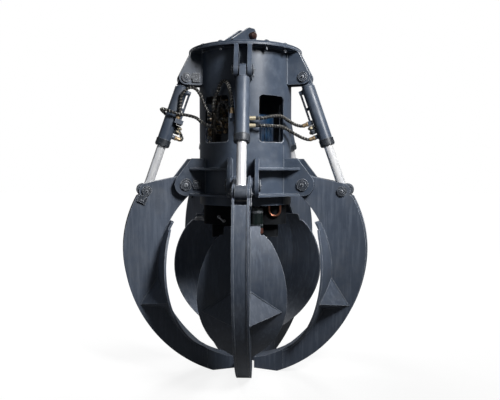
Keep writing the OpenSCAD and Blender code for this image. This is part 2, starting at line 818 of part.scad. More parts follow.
module rib_outline() {
    top = tangent(lower_pin, hinge_cheek_r, rod_pin, rod_boss_r, 1);
    difference() {
        union() {
            intersection() {
                outer_outline(0);
                polygon([lower_pin, top[0], top[1], rod_pin, rod_pin + [far, -far / 2],
                         [far, -tip_depth], [tip_start_x, -tip_depth], [tip_start_x, leaf_c.y],
                         [lower_pin.x - hinge_cheek_r, leaf_c.y],
                         [lower_pin.x - hinge_cheek_r, lower_pin.y]]);
            }
            disc_at(lower_pin, hinge_cheek_r);
            disc_at(rod_pin, rod_boss_r);
        }
        disc_at(rod_pin, cyl_pin_r + run);
    }
}

// a full cylinder of the leaf's curve, tilted for one side
module leaf_round(way, r) {
    translate([leaf_c.x, 0, leaf_c.y]) rotate([0, 0, way * leaf_tilt]) rotate([90, 0, 0])
        cylinder(r = r, h = 4 * leaf_half_w, center = true, $fn = big_sides);
}

// one cheek, cut to seat on its half of the leaf
module cheek() {
    difference() {
        upright(rib_half - cheek_t, rib_half) rib_outline();
        leaf_round(1, leaf_r + seat);
    }
}

module rib(k) {
    color(paint) at_bracket(k) difference() {
        union() {
            cheek();
            mirror([0, 1, 0]) cheek();
            upright(cheek_t - rib_half, rib_half - cheek_t) intersection() {
                difference() {
                    outer_outline(face_inset);
                    outer_outline(face_inset + face_t);
                }
                translate([tip_start_x, -far]) square([far, far + rod_pin.y - face_drop]);
            }
            side_pin(lower_pin, boss_tube_r, side_play - lower_gap / 2, lower_gap / 2 - side_play);
        }
        side_pin(lower_pin, tine_pin_r + run, -lower_gap, lower_gap);
    }
}

// the leaf's outline across the tine, half a width to the +Y side
module leaf_outline() {
    intersection() {
        union() {
            disc_at([leaf_half_w - leaf_lower_r, leaf_belly], leaf_lower_r);
            intersection() {
                disc_at([leaf_half_w - leaf_upper_r, leaf_belly], leaf_upper_r);
                translate([0, leaf_belly]) square([far, far]);
            }
        }
        polygon([[0, neck_top], [neck_w, neck_top], [neck_w, leaf_top], [leaf_shoulder_w, leaf_top],
                 [far, leaf_top - (far - leaf_shoulder_w)], [far, -far], [0, -far]]);
    }
    translate([0, -tip_depth]) square([rib_half, tip_depth + neck_top]);
}

module leaf_half() {
    intersection() {
        difference() {
            leaf_round(1, leaf_r);
            leaf_round(1, leaf_r - leaf_t);
        }
        translate([tip_start_x, 0, 0]) rotate([90, 0, 90]) linear_extrude(height = far) leaf_outline();
    }
}

module gusset() {
    a = gusset_apex - [gusset_in, 0, 0];
    b = gusset_wing - [gusset_in, 0, 0];
    d = gusset_foot - [gusset_in, 0, 0];
    difference() {
        hull() polyhedron(points = [gusset_apex, gusset_wing, gusset_ridge, gusset_foot, a, b, d],
            faces = [[0, 1, 2], [1, 3, 2], [0, 2, 3], [0, 4, 1], [4, 5, 1],
                     [1, 5, 3], [5, 6, 3], [0, 3, 4], [3, 6, 4], [4, 6, 5]]);
        leaf_round(1, leaf_r + seat);
    }
}

module shell(k) {
    color(paint) at_bracket(k) {
        leaf_half();
        mirror([0, 1, 0]) leaf_half();
        gusset();
        mirror([0, 1, 0]) gusset();
    }
}

module tip(k) {
    color(dark_paint) at_bracket(k) intersection() {
        difference() {
            upright(-rib_half, rib_half) intersection() {
                outer_outline(0);
                translate([tip_end_x, -tip_depth]) square([tip_start_x - seat - tip_end_x, far]);
            }
            upright(-rib_half - over, rib_half + over) disc_at(leaf_c, leaf_r - leaf_t);
        }
        translate([0, 0, -far / 2 + leaf_c.y]) cube([2 * far, 2 * far, far], center = true);
    }
}

module rod_pin_set(k) {
    color(steel) at_bracket(k) {
        flagged_pin(rod_pin, cyl_pin_r, upper_ring_r, rib_half, rod_flag_turn);
        upright(rib_half, rib_half + keeper_t) keeper_outline(rod_pin, upper_ring_r, rod_flag_turn);
    }
}

drum_shell();
top_flange();
top_cover();
cover_bolts();
lifting_lug();
lifting_pin();
upper_ears();
upper_pins();
lower_ears();
lower_pins();
pin_keepers();
ring_plates();
equipment_deck();
electric_motor();
pump();
valve_manifold();
hose_fittings();
bottom_plate();
filter_canister();
return_pipes();
for (k = [1 : tine_count]) {
    rib(k);
    shell(k);
    tip(k);
    rod_pin_set(k);
    barrel(k);
    gland(k);
    rod(k);
    hoses(k);
}
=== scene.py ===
"""Looks of the scrap grapple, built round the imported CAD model.

Lengths are in millimetres until a mesh is made. The five brackets are numbered from the front one, and
a half number means the window after a bracket."""
import math
import random

import bmesh
import bpy
from mathutils import Matrix, Vector


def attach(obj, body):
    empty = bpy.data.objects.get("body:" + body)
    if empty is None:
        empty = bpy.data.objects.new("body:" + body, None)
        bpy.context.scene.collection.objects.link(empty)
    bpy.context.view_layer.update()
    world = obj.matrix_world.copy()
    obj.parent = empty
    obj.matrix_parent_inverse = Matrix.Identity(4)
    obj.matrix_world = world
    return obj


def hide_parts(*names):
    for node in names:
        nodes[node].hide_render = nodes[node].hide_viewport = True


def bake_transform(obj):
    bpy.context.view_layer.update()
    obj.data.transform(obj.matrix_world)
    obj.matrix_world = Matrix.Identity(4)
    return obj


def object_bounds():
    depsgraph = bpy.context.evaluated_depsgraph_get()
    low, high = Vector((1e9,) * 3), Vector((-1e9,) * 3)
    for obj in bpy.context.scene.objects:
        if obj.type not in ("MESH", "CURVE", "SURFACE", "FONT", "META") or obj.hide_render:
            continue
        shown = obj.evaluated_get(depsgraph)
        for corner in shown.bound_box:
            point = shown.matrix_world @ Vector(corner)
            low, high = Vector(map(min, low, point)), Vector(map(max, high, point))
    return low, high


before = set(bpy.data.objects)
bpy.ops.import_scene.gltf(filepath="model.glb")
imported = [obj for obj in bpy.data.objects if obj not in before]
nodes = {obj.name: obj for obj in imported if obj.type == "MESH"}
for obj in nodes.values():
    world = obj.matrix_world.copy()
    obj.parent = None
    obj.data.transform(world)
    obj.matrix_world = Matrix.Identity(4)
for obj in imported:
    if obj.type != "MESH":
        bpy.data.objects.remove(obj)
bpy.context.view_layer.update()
scene = bpy.context.scene

MM = 0.001
TINES = range(1, 6)
STEP = 72.0
SIDES = (-1, 1)
UP, DOWN = Vector((0, 0, 1)), Vector((0, 0, -1))
FULL_TURN = 2 * math.pi

# sizes shared with the CAD source; pins are given as (out, up)
DRUM_R, DRUM_TOP, DECK_TOP = 362.0, -26.0, -800.0
UPPER, LOWER, ROD_PIN = (480.0, -215.0), (495.0, -1020.0), (780.0, -1065.0)
UPPER_HALF, LOWER_HALF, RIB_HALF = 62.0, 110.5, 56.0
UPPER_EAR_T, LOWER_EAR_T, CHEEK_T = 30.0, 26.0, 15.0
LUG_HALF, LUG_T, LUG_TURN = 66.5, 30.0, 45
CYL_LEN = math.dist(UPPER, ROD_PIN)
AXIS_OUT, AXIS_UP = (ROD_PIN[0] - UPPER[0]) / CYL_LEN, (ROD_PIN[1] - UPPER[1]) / CYL_LEN
ROD_EYE_R = 48.0
BARREL_R, GLAND_R, GLAND_END, GLAND_LEN = 50.0, 55.0, 537.0, 45.0
PIPE_OFF, PIPE_END, ROD_PORT, CAP_PORT = 70.0, 320.0, 452.0, 96.0
ELBOW_W, ELBOW_ARM, ELBOW_DROP = 32.0, 86.0, 30.0
BLOCK_FACE, BULKHEAD_X, BULKHEAD_SIDE = 265.3, 395.0, 30.3
HOSE_R, HOSE_START, STRAIGHT = 11.0, 57.0, 25.0
WINDOW_W, WINDOW_H, WINDOW_TOP, WINDOW_CORNER = 224.0, 342.0, -365.0, 28.0


# places
def turn(k):
    return math.radians(-90 + STEP * (k - 1))


def at(k, r, y, z):
    """a point r out, y sideways and z up at bracket k"""
    a = turn(k)
    return Vector((r * math.cos(a) - y * math.sin(a), r * math.sin(a) + y * math.cos(a), z))


def along(k, s, y, out):
    """a point s along cylinder k, y sideways and out from its axis to the outer side"""
    return at(k, UPPER[0] + s * AXIS_OUT - out * AXIS_UP, y, UPPER[1] + s * AXIS_UP + out * AXIS_OUT)


def sideways(k, side=1):
    """the direction along the pins of bracket k"""
    return at(k, 0, side, 0)


def behind(k, y, r, z):
    """a point r out and y sideways behind the window after bracket k"""
    return at(k + 0.5, r, y, z)


def polar(k, degrees, r, z):
    """a point r out and z up, turned by degrees from bracket k"""
    a = turn(k) + math.radians(degrees)
    return Vector((r * math.cos(a), r * math.sin(a), z))


def on_drum(k, y, z, lift):
    """a point y sideways over the drum's skin, lifted off it"""
    r = DRUM_R + lift
    return at(k, math.sqrt(r * r - y * y), y, z)


def spread(low, high, count):
    """evenly spread numbers, both ends included"""
    return [low + (high - low) * i / count for i in range(count + 1)]


def between(a, b, count):
    """evenly spread points on the line between two"""
    return [tuple(p + (q - p) * i / count for p, q in zip(a, b)) for i in range(count + 1)]


def turned(degrees, r, z):
    """a point r out and z up, turned by degrees about the drum's axis"""
    a = math.radians(degrees)
    return Vector((r * math.cos(a), r * math.sin(a), z))


def arc(z, r, start, end):
    return [turned(a, r, z) for a in spread(start, end, 40)]


# mesh building
def resample(path, gap):
    """points a steady gap apart on a polyline"""
    out = [path[0].copy()]
    need = gap
    for a, b in zip(path, path[1:]):
        length = (b - a).length
        reached = need
        while reached <= length:
            out.append(a.lerp(b, reached / length))
            reached += gap
        need = reached - length
    if (out[-1] - path[-1]).length > gap * 0.4:
        out.append(path[-1].copy())
    else:
        out[-1] = path[-1].copy()
    return out


def spline(points, gap=6.0):
    """the CAD source's route: a smooth curve through the set points"""
    out = []
    n = len(points)
    for i in range(n - 1):
        a, b, c, d = points[max(i - 1, 0)], points[i], points[i + 1], points[min(i + 2, n - 1)]
        steps = max(2, round((c - b).length / gap))
        for s in range(steps):
            t = s / steps
            out.append(0.5 * (2 * b + (c - a) * t + (2 * a - 5 * b + 4 * c - d) * t * t
                              + (3 * b - a - 3 * c + d) * t ** 3))
    return out + [points[-1]]


def carried(path):
    """at each point of a path, its direction and a side that turns as little as it can"""
    side = None
    for i in range(len(path)):
        way = (path[min(i + 1, len(path) - 1)] - path[max(i - 1, 0)]).normalized()
        if side is None:
            side = way.orthogonal()
        side = (side - side.dot(way) * way).normalized()
        yield way, side


def helix(path, radius, pitch, per_turn=10):
    """points of a coil laid round a path"""
    points = resample(path, pitch / per_turn)
    out = []
    for i, (way, side) in enumerate(carried(points)):
        a = FULL_TURN * i / per_turn
        out.append(points[i] + (side * math.cos(a) + way.cross(side) * math.sin(a)) * radius)
    return out


class Build:
    """the corners and faces of one piece"""

    def __init__(self):
        self.v, self.f = [], []

    def circle(self, centre, side, up, radius, count):
        for j in range(count):
            a = FULL_TURN * j / count
            self.v.append(centre + (side * math.cos(a) + up * math.sin(a)) * radius)

    def skin(self, base, rings, count, caps):
        """walls between circles that were laid one after another, and the two end faces"""
        for i in range(rings - 1):
            a = base + i * count
            b = a + count
            for j in range(count):
                after = (j + 1) % count
                self.f.append((a + j, a + after, b + after, b + j))
        if caps:
            last = base + (rings - 1) * count
            self.f.append(tuple(range(base, base + count))[::-1])
            self.f.append(tuple(range(last, last + count)))

    def lathe(self, centre, axis, profile, count, spin=0.0, caps=True):
        """turns (along, radius) pairs about an axis"""
        axis = Vector(axis).normalized()
        side = Matrix.Rotation(spin, 3, axis) @ axis.orthogonal().normalized()
        up = axis.cross(side)
        base = len(self.v)
        for x, r in profile:
            self.circle(centre + axis * x, side, up, r, count)
        self.skin(base, len(profile), count, caps)

    def tube(self, path, radius, count):
        """sweeps a circle along points; radius is a number or a function of the index"""
        base = len(self.v)
        for i, (way, side) in enumerate(carried(path)):
            self.circle(path[i], side, way.cross(side), radius(i) if callable(radius) else radius, count)
        self.skin(base, len(path), count, True)

    def block(self, centre, axes, size, bevel):
        """a box with rounded edges; axes are three unit vectors"""
        bm = bmesh.new()
        bmesh.ops.create_cube(bm, size=1.0)
        for v in bm.verts:
            v.co = Vector(v.co[i] * size[i] for i in range(3))
        bmesh.ops.bevel(bm, geom=bm.edges[:], offset=bevel, segments=2, affect="EDGES", profile=0.6)
        bm.verts.ensure_lookup_table()
        base = len(self.v)
        for v in bm.verts:
            self.v.append(centre + axes[0] * v.co.x + axes[1] * v.co.y + axes[2] * v.co.z)
        for f in bm.faces:
            self.f.append(tuple(base + v.index for v in f.verts))
        bm.free()

    def weld(self, path, r, seed):
        """a laid weld bead: a tube with a steady ripple and a little wobble"""
        rnd = random.Random(seed)
        points = resample(path, r * 0.8)
        phase = rnd.random()
        ripple, wobble, ripple_turn = 0.13, 0.07, 2.1

        def radius(i):
            return r * (1.0 + ripple * math.sin(i * ripple_turn + phase) + rnd.uniform(-wobble, wobble))

        self.tube(points, radius, 8)

    def hex_nut(self, foot, way, r, length):
        corner = r * 0.86
        self.lathe(foot, way, [(0, corner), (length * 0.1, r), (length * 0.9, r), (length, corner)], 6)


def piece(name, build, material, body):
    mesh = bpy.data.meshes.new(name)
    mesh.from_pydata([v * MM for v in build.v], [], build.f)
    mesh.validate()
    mesh.update()
    mesh.polygons.foreach_set("use_smooth", [True] * len(mesh.polygons))
    mesh.set_sharp_from_angle(angle=math.radians(35.0))
    mesh.materials.append(material)
    obj = bpy.data.objects.new(name, mesh)
    scene.collection.objects.link(obj)
    if body:
        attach(obj, body)
    return obj


# material helpers
def new_material(name):
    mat = bpy.data.materials.new(name)
    mat.use_nodes = True
    nt = mat.node_tree
    return nt, nt.nodes["Principled BSDF"], mat


def node(nt, kind, **values):
    """a shader node with its inputs or its own settings given by name"""
    n = nt.nodes.new(kind)
    for key, value in values.items():
        if key in n.inputs:
            n.inputs[key].default_value = value
        else:
            setattr(n, key, value)
    return n


def object_coord(nt):
    return nt.nodes.new("ShaderNodeTexCoord").outputs["Object"]


def noise(nt, coord, scale, detail=4.0, rough=0.55, stretch=None):
    source = coord
    if stretch:
        m = node(nt, "ShaderNodeMapping")
        m.inputs["Scale"].default_value = stretch
        nt.links.new(coord, m.inputs["Vector"])
        source = m.outputs["Vector"]
    n = node(nt, "ShaderNodeTexNoise", Scale=scale, Detail=detail, Roughness=rough)
    nt.links.new(source, n.inputs["Vector"])
    return n.outputs["Fac"]


def ramp(nt, fac, low, high, start=0.0, end=1.0):
    """start below low, end above high, and a straight run between"""
    n = node(nt, "ShaderNodeMapRange")
    n.inputs["From Min"].default_value = low
    n.inputs["From Max"].default_value = high
    n.inputs["To Min"].default_value = start
    n.inputs["To Max"].default_value = end
    nt.links.new(fac, n.inputs["Value"])
    return n.outputs["Result"]


def mix(nt, fac, a, b):
    """colour a where fac is 0, b where it is 1"""
    n = nt.nodes.new("ShaderNodeMix")
    n.data_type = "RGBA"
    nt.links.new(fac, n.inputs[0])
    for socket, value in ((n.inputs[6], a), (n.inputs[7], b)):
        if isinstance(value, tuple):
            socket.default_value = (*value, 1.0)
        else:
            nt.links.new(value, socket)
    return n.outputs[2]


def maths(nt, kind, a, b):
    n = nt.nodes.new("ShaderNodeMath")
    n.operation = kind
    for socket, value in ((n.inputs[0], a), (n.inputs[1], b)):
        if isinstance(value, (int, float)):
            socket.default_value = value
        else:
            nt.links.new(value, socket)
    return n.outputs[0]


def plus(nt, a, b):
    return maths(nt, "ADD", a, b)


def times(nt, a, b):
    return maths(nt, "MULTIPLY", a, b)


def rounded_normal(nt, radius):
    n = node(nt, "ShaderNodeBevel", samples=6)
    n.inputs["Radius"].default_value = radius * MM
    return n.outputs[0]


def edge_mask(nt, radius):
    """1 at edges: how far a rounded normal turns from the true one"""
    true_normal = nt.nodes.new("ShaderNodeNewGeometry").outputs["Normal"]
    dot = nt.nodes.new("ShaderNodeVectorMath")
    dot.operation = "DOT_PRODUCT"
    nt.links.new(rounded_normal(nt, radius), dot.inputs[0])
    nt.links.new(true_normal, dot.inputs[1])
    return ramp(nt, dot.outputs["Value"], low=0.99, high=0.80)


def bumped(nt, bsdf, height, strength, distance, normal=None):
    """small relief on the surface; distance is in metres"""
    bump = node(nt, "ShaderNodeBump", Strength=strength, Distance=distance)
    nt.links.new(height, bump.inputs["Height"])
    if normal:
        nt.links.new(normal, bump.inputs["Normal"])
    nt.links.new(bump.outputs[0], bsdf.inputs["Normal"])


DUST = (0.15, 0.155, 0.16)


def paint(name, colour, light, shade, rough=0.38, wear_and_edge_highlight=0.8, bare=(0.30, 0.33, 0.38), streak=(1, 1, 1),
          streak_by=0.55, dust=0.25, specular=0.45):
    """brushed or sprayed enamel on plate: uneven film, worn edges that also carry a painted highlight, fine
    scratches and dust
    """
    nt, bsdf, mat = new_material(name)
    coord = object_coord(nt)
    clouds = noise(nt, coord, scale=2.2, detail=5.0, rough=0.6)
    streaks = noise(nt, coord, scale=14.0, detail=6.0, rough=0.65, stretch=streak)
    grain = noise(nt, coord, scale=160.0, detail=4.0, rough=0.7)
    base = mix(nt, ramp(nt, clouds, 0.32, 0.68), shade, colour)
    base = mix(nt, ramp(nt, streaks, 0.48, 0.74, end=streak_by), base, light)

    # edges turn to the pale colour in patches of wear, and a thin pale line runs along every edge between
    # the patches: partly wear, partly painted highlight on the edges
    patches = noise(nt, coord, scale=18.0, detail=5.0, rough=0.7)
    worn_and_highlit_edges = times(nt, edge_mask(nt, 6.0), ramp(nt, patches, 0.36, 0.58, 0.15 * wear_and_edge_highlight, wear_and_edge_highlight))
    base = mix(nt, worn_and_highlit_edges, base, bare)

    lines = noise(nt, coord, scale=6.0, detail=3.0, rough=0.5, stretch=(1.0, 1.0, 46.0))
    where = noise(nt, coord, scale=3.1, detail=2.0)
    scratch = times(nt, ramp(nt, lines, 0.66, 0.70, end=0.35), ramp(nt, where, 0.5, 0.62))
    base = mix(nt, scratch, base, light)

    dirt = times(nt, ramp(nt, noise(nt, coord, scale=5.0, detail=6.0, rough=0.7), 0.48, 0.75), dust)
    base = mix(nt, dirt, base, DUST)
    nt.links.new(base, bsdf.inputs["Base Color"])
    gloss = plus(nt, ramp(nt, streaks, 0.3, 0.7, rough - 0.07, rough + 0.12), times(nt, dirt, 0.5))
    nt.links.new(gloss, bsdf.inputs["Roughness"])
    relief = plus(nt, times(nt, grain, 0.5), times(nt, streaks, 1.6))
    bumped(nt, bsdf, relief, 0.35, 0.0008, normal=rounded_normal(nt, 2.2))
    bsdf.inputs["Metallic"].default_value = 0.0
    bsdf.inputs["Specular IOR Level"].default_value = specular
    return mat


def grained(name, colour, shade, rough, scale, bump_by=0.15, metallic=1.0):
    """bare or plated metal, or rubber, with a grain in its colour and relief"""
    nt, bsdf, mat = new_material(name)
    coord = object_coord(nt)
    grain = noise(nt, coord, scale, detail=5.0, rough=0.6, stretch=(1, 1, 1))
    nt.links.new(mix(nt, ramp(nt, grain, 0.35, 0.7), shade, colour), bsdf.inputs["Base Color"])
    gloss = ramp(nt, noise(nt, coord, scale * 0.3), 0.3, 0.7, rough * 0.8, rough * 1.3)
    nt.links.new(gloss, bsdf.inputs["Roughness"])
    bumped(nt, bsdf, grain, bump_by, 0.0005)
    bsdf.inputs["Metallic"].default_value = metallic
    return mat


def rod_look():
    """hard chrome along the rod; its welded eye is painted, past the end of the round bar"""
    nt, bsdf, mat = new_material("rod_chrome_and_eye")
    coord = object_coord(nt)
    split = nt.nodes.new("ShaderNodeSeparateXYZ")
    nt.links.new(coord, split.inputs[0])
    x, y, z = split.outputs
    out = maths(nt, "SQRT", plus(nt, maths(nt, "POWER", x, 2.0), maths(nt, "POWER", y, 2.0)), 0.0)
    reach = plus(nt, times(nt, maths(nt, "SUBTRACT", out, UPPER[0] * MM), AXIS_OUT),
                 times(nt, maths(nt, "SUBTRACT", z, UPPER[1] * MM), AXIS_UP))
    bar_end, blur = (CYL_LEN - ROD_EYE_R + 4.0) * MM, 0.0015
    eye = ramp(nt, reach, bar_end - blur, bar_end + blur)
    smear = noise(nt, coord, scale=26.0, detail=6.0, rough=0.65, stretch=(1, 1, 0.25))
    bar = mix(nt, ramp(nt, smear, 0.42, 0.62), (0.95, 0.955, 0.965), (0.78, 0.79, 0.82))
    clouds = ramp(nt, noise(nt, coord, scale=16.0, detail=5.0), 0.4, 0.7)
    cover = mix(nt, clouds, (0.045, 0.054, 0.070), (0.11, 0.127, 0.155))
    # the eye's edges go strongly pale: partly wear, partly a painted highlight on the eye
    worn_and_highlit_edges = times(nt, edge_mask(nt, 4.0), ramp(nt, noise(nt, coord, scale=34.0), 0.4, 0.6, end=0.9))
    cover = mix(nt, worn_and_highlit_edges, cover, (0.60, 0.63, 0.67))
    nt.links.new(mix(nt, eye, bar, cover), bsdf.inputs["Base Color"])
    nt.links.new(ramp(nt, eye, 0.0, 1.0, start=0.4, end=0.0), bsdf.inputs["Metallic"])
    gloss = plus(nt, ramp(nt, smear, 0.35, 0.7, start=0.06, end=0.2), times(nt, eye, 0.3))
    nt.links.new(gloss, bsdf.inputs["Roughness"])
    bumped(nt, bsdf, noise(nt, coord, scale=140.0), 0.12, 0.0004)
    return mat


# paints: main colour, the lighter one of streaks, the darker one of clouds
slate = paint("slate_paint_worn", (0.058, 0.076, 0.108), (0.098, 0.122, 0.163), (0.038, 0.052, 0.078))
cover_paint = paint("cover_paint_worn", (0.055, 0.072, 0.102), (0.090, 0.112, 0.150),
                    (0.038, 0.052, 0.078), rough=0.68, specular=0.1)
tine_paint = paint("tine_paint_worn", (0.077, 0.096, 0.132), (0.135, 0.162, 0.210), (0.050, 0.065, 0.094),
                   rough=0.44, wear_and_edge_highlight=1.0, bare=(0.42, 0.45, 0.50), streak=(3.0, 3.0, 0.25), streak_by=0.8,
                   dust=0.3)
dark = paint("dark_paint_worn", (0.020, 0.025, 0.034), (0.05, 0.058, 0.072), (0.010, 0.013, 0.018), wear_and_edge_highlight=0.5)
# pin paint: dark, with very pale edges that are partly wear and partly a painted highlight outlining pins,
# keepers and bolts
pin_paint = paint("pin_paint_worn", (0.038, 0.046, 0.062), (0.12, 0.14, 0.175), (0.020, 0.025, 0.034),
                  rough=0.32, wear_and_edge_highlight=1.0, bare=(0.60, 0.63, 0.68))
weld_paint = paint("weld_paint", (0.115, 0.137, 0.172), (0.22, 0.25, 0.30), (0.065, 0.080, 0.105), wear_and_edge_highlight=0.5)
blue = paint("motor_enamel", (0.003, 0.026, 0.072), (0.007, 0.055, 0.125), (0.001, 0.007, 0.020),
             rough=0.3, wear_and_edge_highlight=0.35, dust=0.08)
green = paint("filter_enamel", (0.006, 0.013, 0.012), (0.014, 0.030, 0.025), (0.003, 0.006, 0.006),
              rough=0.3, wear_and_edge_highlight=0.4, dust=0.05)
# near-black paint for the pan under the drum: painted shade, standing for the deep shadow beneath the drum
underside_painted_shade = paint("shaded_underside", (0.006, 0.007, 0.009), (0.018, 0.020, 0.024), (0.003, 0.004, 0.005),
             rough=0.62, wear_and_edge_highlight=0.25, dust=0.04, specular=0.12)

# metals and rubbers: main colour, the darker one of the grain, roughness, scale of the grain
# bright steel for the strips on the window rims: a painted highlight of the cut edges
rim_highlight_steel = grained("window_rim_painted_highlight", (0.62, 0.66, 0.72), (0.30, 0.33, 0.38), 0.3, 120.0, metallic=0.7)
brown = grained("pin_primer", (0.075, 0.032, 0.024), (0.035, 0.018, 0.014), 0.4, 50.0, metallic=0.0)
brass = grained("fitting_plating", (0.80, 0.73, 0.56), (0.40, 0.33, 0.21), 0.42, 120.0, metallic=0.55)
bronze = grained("fitting_bronze", (0.62, 0.47, 0.29), (0.18, 0.12, 0.07), 0.42, 70.0, metallic=0.5)
zinc = grained("zinc_plating", (0.50, 0.51, 0.53), (0.24, 0.25, 0.27), 0.3, 150.0)
copper = grained("copper_pipe_worn", (0.50, 0.22, 0.14), (0.22, 0.09, 0.06), 0.32, 80.0)
rust = grained("filter_band", (0.10, 0.032, 0.022), (0.045, 0.016, 0.012), 0.45, 60.0, metallic=0.0)
rubber = grained("hose_rubber_black", (0.012, 0.012, 0.013), (0.006, 0.006, 0.007), 0.5, 300.0,
                 bump_by=0.3, metallic=0.0)
loop_rubber = grained("loop_hose_rubber", (0.22, 0.185, 0.145), (0.06, 0.049, 0.039), 0.42, 120.0,
                      bump_by=0.3, metallic=0.0)
# the guard's grain, scaled to the coil's pitch, makes pale dots between near-black ones: painted glints on
# the coil's crests, over a pale wire
guard = grained("hose_guard", (0.56, 0.54, 0.48), (0.024, 0.023, 0.022), 0.34, 38.0, metallic=0.3)
rod_metal = rod_look()

NODE_LOOKS = {
    "drum_shell": slate, "top_flange": slate, "top_cover": cover_paint, "lifting_lug": slate,
    "upper_ears": slate, "lower_ears": slate, "ring_plates": slate, "cover_bolts": pin_paint,
    "lifting_pin": brown, "upper_pins": pin_paint, "lower_pins": pin_paint, "pin_keepers": pin_paint,
    "equipment_deck": dark, "electric_motor": blue, "pump": dark, "valve_manifold": dark,
    "hose_fittings": brass, "bottom_plate": underside_painted_shade, "filter_canister": green, "return_pipes": copper,
}
for k in TINES:
    NODE_LOOKS.update({
        f"tine_{k}_rib": tine_paint, f"tine_{k}_shell": tine_paint, f"tine_{k}_tip": tine_paint,
        f"tine_{k}_rod_pin": pin_paint, f"barrel_{k}": slate, f"gland_{k}": dark,
        f"rod_{k}": rod_metal, f"hoses_{k}": rubber,
    })
for name, look in NODE_LOOKS.items():
    mesh = nodes[name].data
    mesh.materials.clear()
    mesh.materials.append(look)


# hoses, along the CAD source's routes; their points are (degrees from the bracket, out, up)
RUNS = (0.3, STRAIGHT, 2 * STRAIGHT)
LOOP = ((-8.6, 514, -420), (-12, 470, -330), (-17, 425, -280), (-23, 405, -285), (-29, 396, -350),
        (-34, 394, -420))
INNER_ARC = ((-3, 475, -645), (-8, 440, -570), (-14, 412, -480), (-20, 400, -425), (-26, 395, -435),
             (-28, 392, -490))
HIGH_ACROSS = ((-7, 428, -570), (-17, 404, -545), (-27, 399, -520), (-37, 399, -518))
LOW_ACROSS = ((-5, 475, -668), (-13, 430, -636), (-22, 404, -606), (-32, 399, -592))
ARCH = ((7.7, 531, -410), (9.3, 518, -340), (13, 478, -298), (17.5, 438, -312), (22, 414, -370),
        (26, 400, -440))
LOW_ARC = ((4, 480, -672), (10, 440, -640), (17, 412, -606))
WRAP = ((-7, 503, -655), (-12, 540, -580), (-11.5, 602, -500), (-6, 646, -458), (0, 658, -450),
        (5.5, 640, -460), (8.8, 590, -482), (9.8, 535, -496), (12, 485, -503), (17, 438, -522),
        (22, 412, -556))
# ports in the drum: (sideways, up) on a block, or up on the bulkhead block
FRONT_PORTS = ((0, -478), (-41, -535))
BACK_PORTS = ((-40, -497), (-40, -590))
BULKHEAD_PORTS = (-541, -594)

# the guard's coil leaves a few points of the hose bare at both ends
GUARD_PITCH, GUARD_WIRE, GUARD_LIFT, GUARD_RUN = 24.0, 2.2, 1.0, slice(8, -3)
CRIMP = ((0.2, 17.5), (2, 18.5), (13, 18.5), (15, 16.5), (15.2, 13.8), (20, 13.8), (20.2, 15.6),
         (27, 15.6), (28, 14.6), (32, 14.6), (33, 15.6), (44, 15.6), (46, 13.6))


def elbow_start(k, side):
    """out of the elbow block's face, or down from one of its arms"""
    if side == 0:
        return [along(k, PIPE_END + ELBOW_W / 2, 0, -(PIPE_OFF + ELBOW_W / 2 + run)) for run in RUNS]
    y = side * (ELBOW_ARM - ELBOW_W / 2)
    return [along(k, PIPE_END - run, y, ELBOW_DROP - PIPE_OFF) for run in RUNS]


def port_start(k):
    return [along(k, ROD_PORT, 0, -(PIPE_OFF + run)) for run in RUNS]


def block_end(k, way, y, z):
    ends = []
    for run in RUNS[::-1]:
        out = BLOCK_FACE + HOSE_START + run
        ends.append(polar(k, way * (STEP / 2 + math.degrees(math.atan2(y, out))), math.hypot(out, y), z))
    return ends


def bulkhead_end(k, z):
    ends = []
    for run in RUNS[::-1]:
        y = BULKHEAD_SIDE + HOSE_START + run
        ends.append(polar(k, math.degrees(math.atan2(y, BULKHEAD_X)) - STEP, math.hypot(BULKHEAD_X, y), z))
    return ends


def hose_curves(k):
    """the upper and the lower hose of cylinder k, from the cylinder to the drum"""
    if k == 1:
        starts, routes = (elbow_start(k, -1), port_start(k)), (LOOP, INNER_ARC)
        ends = [block_end(k, -1, *port) for port in FRONT_PORTS]
    elif k == 2:
        starts, routes = (elbow_start(k, 0), port_start(k)), (HIGH_ACROSS, LOW_ACROSS)
        ends = [bulkhead_end(k, z) for z in BULKHEAD_PORTS]
    else:
        starts, routes = (elbow_start(k, 1), port_start(k)), (ARCH, WRAP if k == 5 else LOW_ARC)
        ends = [block_end(k, 1, *port) for port in BACK_PORTS]
    return [spline(start + [polar(k, *q) for q in route] + end)
            for start, route, end in zip(starts, routes, ends)]


for k in TINES:
    body = f"cylinder_barrel_{k}"
    hose, coil, crimp = Build(), Build(), Build()
    curves = hose_curves(k)
    for curve in curves:
        line = resample(curve, 6.0)
        hose.tube(line, HOSE_R, 14)
        coil.tube(helix(line[GUARD_RUN], HOSE_R + GUARD_LIFT, GUARD_PITCH), GUARD_WIRE, 6)
        crimp.lathe(curve[0], (curve[4] - curve[0]).normalized(), CRIMP, 24)
    hose_piece = piece(f"hose_pair_{k}", hose, rubber, None)
    guard_piece = piece(f"hose_guards_{k}", coil, guard, None)
    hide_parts(f"hoses_{k}")
    for part in (hose_piece, guard_piece):
        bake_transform(part)
    piece(f"hose_crimps_{k}", crimp, bronze, body)


# weld beads; a bead's middle stands off the plates it joins, and each has its own seed for its wobble
HEAVY_BEAD, BEAD, LIGHT_BEAD, PORT_BEAD, FINE_BEAD = 5, 4.5, 4, 3, 2.6
BEAD_OFF = 2.0
UPPER_EAR_TOP, UPPER_EAR_LOW, LOWER_EAR_TOP, LOWER_EAR_LOW = DRUM_TOP - 5, -262, -830, -1100
UPPER_EAR_RUN, LOWER_EAR_RUN = (360, 438), (356, 468)
SHELF_TOP, SHELF_UNDER, FLOOR_TOP = -896, -914, -1089
SHELF_START, TOP_START, SEAM_TURN = 18.5, 10.5, -35.4
SEAM_RUNS = ((-725, -888), (-922, -1082), (-1112, -1170))
LUG_RUN = (-182, 52)

